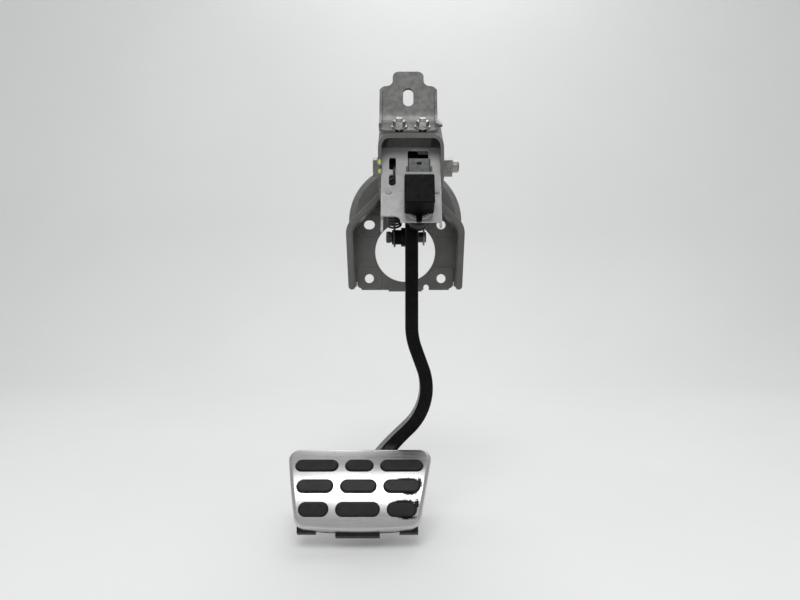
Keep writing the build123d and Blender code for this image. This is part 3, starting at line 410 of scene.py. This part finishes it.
facet_slope = math.radians(33.7)
facet_up = Vector((0.0, -math.sin(facet_slope), math.cos(facet_slope)))
facet_along = Vector((0.0, math.cos(facet_slope), math.sin(facet_slope)))
facet_origin = Vector((0.004, -0.140, 0.094))
bolt_thread_foot = (0.0436, -0.106, 0.072)
thread("pivot_bolt_thread", bolt_thread_foot, (1, 0, 0), 0.0050, 0.00495, 0.00125, 0.00035, "bracket")
for stud_name, stud_x in (("left_stud_thread", -0.0105), ("right_stud_thread", 0.0105)):
    stud_foot = facet_origin + Vector((stud_x, 0, 0)) + facet_along * 0.0105 + facet_up * 0.0086
    thread(stud_name, stud_foot, facet_up, 0.0021, 0.00296, 0.0010, 0.00028, "bracket")


# Weld beads: overlapping flattened drops along a line, by geometry nodes
weld = Surface(
    "weld", (0.075, 0.058, 0.042), (0.13, 0.105, 0.075), 0.55,
    mottle=420.0, relief=0.4, edge=0.0002,
)
weld_soot = ramp(weld.tree, noise(weld.tree, weld.place, 900.0), 0.55, 0.7, 0.0, 0.6)
weld.layer(weld_soot, (0.03, 0.026, 0.022))
weld_material = weld.done()


def weld_group():
    """A node group that lays weld ripples along a curve."""
    group = bpy.data.node_groups.new("weld_ripples", "GeometryNodeTree")
    group.interface.new_socket("Line", in_out="INPUT", socket_type="NodeSocketGeometry")
    labels = (("Ripples", "NodeSocketInt"), ("Radius", "NodeSocketFloat"), ("Seed", "NodeSocketInt"))
    for label, kind in labels:
        group.interface.new_socket(label, in_out="INPUT", socket_type=kind)
    group.interface.new_socket("Bead", in_out="OUTPUT", socket_type="NodeSocketGeometry")
    given = add_node(group, "NodeGroupInput")
    points = add_node(
        group, "GeometryNodeCurveToPoints", {"mode": "COUNT"},
        {"Curve": given.outputs["Line"], "Count": given.outputs["Ripples"]},
    )
    drop = add_node(
        group, "GeometryNodeMeshIcoSphere", None, {"Radius": given.outputs["Radius"], "Subdivisions": 3}
    )
    size = add_node(
        group, "FunctionNodeRandomValue", {"data_type": "FLOAT_VECTOR"}, {"Seed": given.outputs["Seed"]}
    )
    size.inputs[0].default_value = (0.85, 0.85, 0.55)
    size.inputs[1].default_value = (1.15, 1.15, 0.75)
    laid = add_node(
        group, "GeometryNodeInstanceOnPoints", None,
        {
            "Points": points.outputs["Points"],
            "Instance": drop.outputs["Mesh"],
            "Rotation": points.outputs["Rotation"],
            "Scale": size.outputs[0],
        },
    )
    real = add_node(group, "GeometryNodeRealizeInstances", None, {"Geometry": laid.outputs["Instances"]})
    smooth = add_node(group, "GeometryNodeSetShadeSmooth", None, {"Geometry": real.outputs["Geometry"]})
    painted = add_node(
        group, "GeometryNodeSetMaterial", None,
        {"Geometry": smooth.outputs["Geometry"], "Material": weld_material},
    )
    result = add_node(group, "NodeGroupOutput")
    group.links.new(painted.outputs["Geometry"], result.inputs["Bead"])
    return group


ripple_group = weld_group()


def weld_bead(name, points, radius, ripples, seed):
    """A weld bead along a line of points, made into a plain mesh."""
    curve = bpy.data.curves.new(name + "_line", "CURVE")
    curve.dimensions = "3D"
    spline = curve.splines.new("POLY")
    spline.points.add(len(points) - 1)
    for place, point in zip(spline.points, points):
        place.co = (*point, 1.0)
    line = bpy.data.objects.new(name + "_line", curve)
    bpy.context.scene.collection.objects.link(line)
    modifier = line.modifiers.new("ripples", "NODES")
    modifier.node_group = ripple_group
    values = {"Ripples": ripples, "Radius": radius, "Seed": seed}
    for item in ripple_group.interface.items_tree:
        if item.in_out == "INPUT" and item.name in values:
            modifier[item.identifier] = values[item.name]
    bpy.context.view_layer.update()
    graph = bpy.context.evaluated_depsgraph_get()
    mesh = bpy.data.meshes.new_from_object(line.evaluated_get(graph), depsgraph=graph)
    mesh.name = name
    bpy.data.objects.remove(line)
    made = bpy.data.objects.new(name, mesh)
    bpy.context.scene.collection.objects.link(made)
    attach(made, "bracket")
    return made


weld_bead("left_wing_weld", [(-0.0262, -0.0145, 0.0760), (-0.0262, -0.0140, 0.0840)], 0.0019, 9, 3)
weld_bead("right_wing_weld", [(0.0342, -0.0145, 0.0700), (0.0342, -0.0140, 0.0780)], 0.0019, 9, 5)
weld_bead("left_floor_weld", [(-0.0262, -0.0033, 0.0440), (-0.0262, -0.0033, 0.0550)], 0.0017, 11, 7)
weld_bead("right_floor_weld", [(0.0342, -0.0033, 0.0440), (0.0342, -0.0033, 0.0480)], 0.0015, 5, 11)


def dome(name, centre, normal, half_width, half_height, rise, material, body):
    """A low rounded blob on a surface, with its long side upright."""
    out = Vector(normal).normalized()
    side = Vector((1.0, 0.0, 0.0))
    up = out.cross(side).normalized()
    columns, rows = 24, 6
    vertices = [Vector(centre) + out * rise]
    for row in range(1, rows + 1):
        bend = math.pi / 2 * row / rows
        for column in range(columns):
            turn = 2 * math.pi * column / columns
            place = side * half_width * math.cos(turn) + up * half_height * math.sin(turn)
            vertices.append(Vector(centre) + place * math.sin(bend) + out * rise * math.cos(bend))
    faces = [(0, 1 + column, 1 + (column + 1) % columns) for column in range(columns)]
    for row in range(rows - 1):
        for column in range(columns):
            after = (column + 1) % columns
            first, second = 1 + row * columns, 1 + (row + 1) * columns
            faces.append((first + column, second + column, second + after, first + after))
    made = piece(name, vertices, faces, material)
    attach(made, body)


def block(name, centre, size, lean, material, body):
    """A small box that leans back by an angle."""
    turn = Matrix.Rotation(-math.radians(lean), 4, "X")
    corners = [(x, y, z) for x in (-0.5, 0.5) for y in (-0.5, 0.5) for z in (-0.5, 0.5)]
    vertices = [
        Vector(centre) + turn @ Vector((x * size[0], y * size[1], z * size[2])) for x, y, z in corners
    ]
    faces = [(0, 1, 3, 2), (4, 6, 7, 5), (0, 4, 5, 1), (2, 3, 7, 6), (0, 2, 6, 4), (1, 5, 7, 3)]
    made = piece(name, vertices, faces, material, smooth=False)
    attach(made, body)


# Paint marks on the front edge of the left housing wall
yellow = Surface("yellow_mark", (0.55, 0.60, 0.10), (0.46, 0.52, 0.09), 0.45, mottle=700.0, relief=0.2)
yellow_material = yellow.done()
blue = Surface("blue_mark", (0.020, 0.018, 0.075), (0.030, 0.026, 0.10), 0.45, mottle=700.0, relief=0.2)
blue_material = blue.done()
wall_front_y = -0.1400
mark_rise = 0.0003
# Each mark: its name, its place across and up the wall, its half width and half height, its paint
marks = (
    ("upper_yellow_mark", -0.0240, 0.0689, 0.0013, 0.0026, yellow_material),
    ("lower_yellow_mark", -0.0240, 0.0607, 0.0013, 0.0020, yellow_material),
    ("blue_mark", -0.0230, 0.0649, 0.0011, 0.0013, blue_material),
)
for mark_name, mark_x, mark_z, half_width, half_height, mark_material in marks:
    mark_place = (mark_x, wall_front_y, mark_z)
    dome(
        mark_name, mark_place, (0, -1, 0), half_width, half_height, mark_rise,
        mark_material, "bracket",
    )

# Pressed dimples that stiffen the bend of the switch plate
dimple_y = -0.1479
dimple_out = (0, -0.914, 0.407)
dimple_half_width = 0.0030
dimple_half_height = 0.0018
dimple_rise = 0.0011
dimples = (("left_dimple", -0.0159, 0.0403), ("right_dimple", 0.0265, 0.0410))
for dimple_name, dimple_x, dimple_z in dimples:
    dome(
        dimple_name, (dimple_x, dimple_y, dimple_z), dimple_out,
        dimple_half_width, dimple_half_height, dimple_rise,
        light_material, "bracket",
    )

# Switch: pale collar under the connector and its small latch
collar = Surface("collar_plastic", (0.20, 0.21, 0.20), (0.16, 0.17, 0.165), 0.4, mottle=160.0)
collar_material = collar.done()
switch_origin = Vector((0.0106, -0.15238, 0.02797))
switch_out = Vector((0.0, -0.939693, 0.34202))
switch_up = Vector((0.0, 0.34202, 0.939693))
switch_lean = 20.0
collar_place = switch_origin + switch_up * 0.0178 + switch_out * 0.0184
latch_place = switch_origin + switch_up * 0.0302 + switch_out * 0.0197
block(
    "switch_collar", collar_place, (0.0240, 0.0118, 0.0024), switch_lean,
    collar_material, "bracket",
)
block(
    "connector_latch", latch_place, (0.0042, 0.0012, 0.0020), switch_lean,
    black_plastic_material, "bracket",
)

# Camera, as in the photo

camera_data = bpy.data.cameras.new("camera")
camera_data.lens = 27.0
camera_data.sensor_width = 36.0
camera = bpy.data.objects.new("camera", camera_data)
camera_place = (-0.0058, -0.674, -0.0539)
level_ahead = Matrix.Rotation(math.radians(90), 4, "X")
camera.matrix_world = Matrix.Translation(camera_place) @ level_ahead
bpy.context.scene.collection.objects.link(camera)
bpy.context.scene.camera = camera

# Floor that curves up into a backdrop

floor_z = -0.268
bend_y = 0.75
bend_radius = 0.45
profile = [(-2.2, floor_z), (bend_y, floor_z)]
for step in range(1, 17):
    turn = math.radians(90) * step / 16
    profile.append((bend_y + bend_radius * math.sin(turn), floor_z + bend_radius * (1 - math.cos(turn))))
profile.append((bend_y + bend_radius, 2.4))
floor_vertices = [(side, y, z) for y, z in profile for side in (-3.0, 3.0)]
floor_faces = [(2 * row, 2 * row + 1, 2 * row + 3, 2 * row + 2) for row in range(len(profile) - 1)]
table = Surface(
    "table", (0.93, 0.93, 0.925), (0.91, 0.91, 0.905), 0.6,
    mottle=3.0, grain=300.0, relief=0.02,
)
floor = piece("floor", floor_vertices, floor_faces, table.done(specular=0.2))

# Light: a pale room, a soft lamp high on the driver's side and one behind the bracket

scene = bpy.context.scene
scene.view_settings.view_transform = "Standard"
world = bpy.data.worlds.new("room")
scene.world = world
world.use_nodes = True
world.node_tree.nodes["Background"].inputs["Color"].default_value = (0.97, 0.98, 1.0, 1.0)
world.node_tree.nodes["Background"].inputs["Strength"].default_value = 0.48


def soft_lamp(name, place, target, width, power):
    lamp_data = bpy.data.lights.new(name, "AREA")
    lamp_data.shape = "DISK"
    lamp_data.size = width
    lamp_data.energy = power
    lamp = bpy.data.objects.new(name, lamp_data)
    aim = Vector(target) - Vector(place)
    lamp.matrix_world = Matrix.Translation(place) @ aim.to_track_quat("-Z", "Y").to_matrix().to_4x4()
    bpy.context.scene.collection.objects.link(lamp)


soft_lamp("driver_lamp", (-0.06, -1.03, 1.10), (0.0, -0.12, -0.10), 0.9, 9.0)
soft_lamp("back_lamp", (0.10, 0.85, 1.50), (0.0, -0.08, -0.05), 1.0, 8.0)
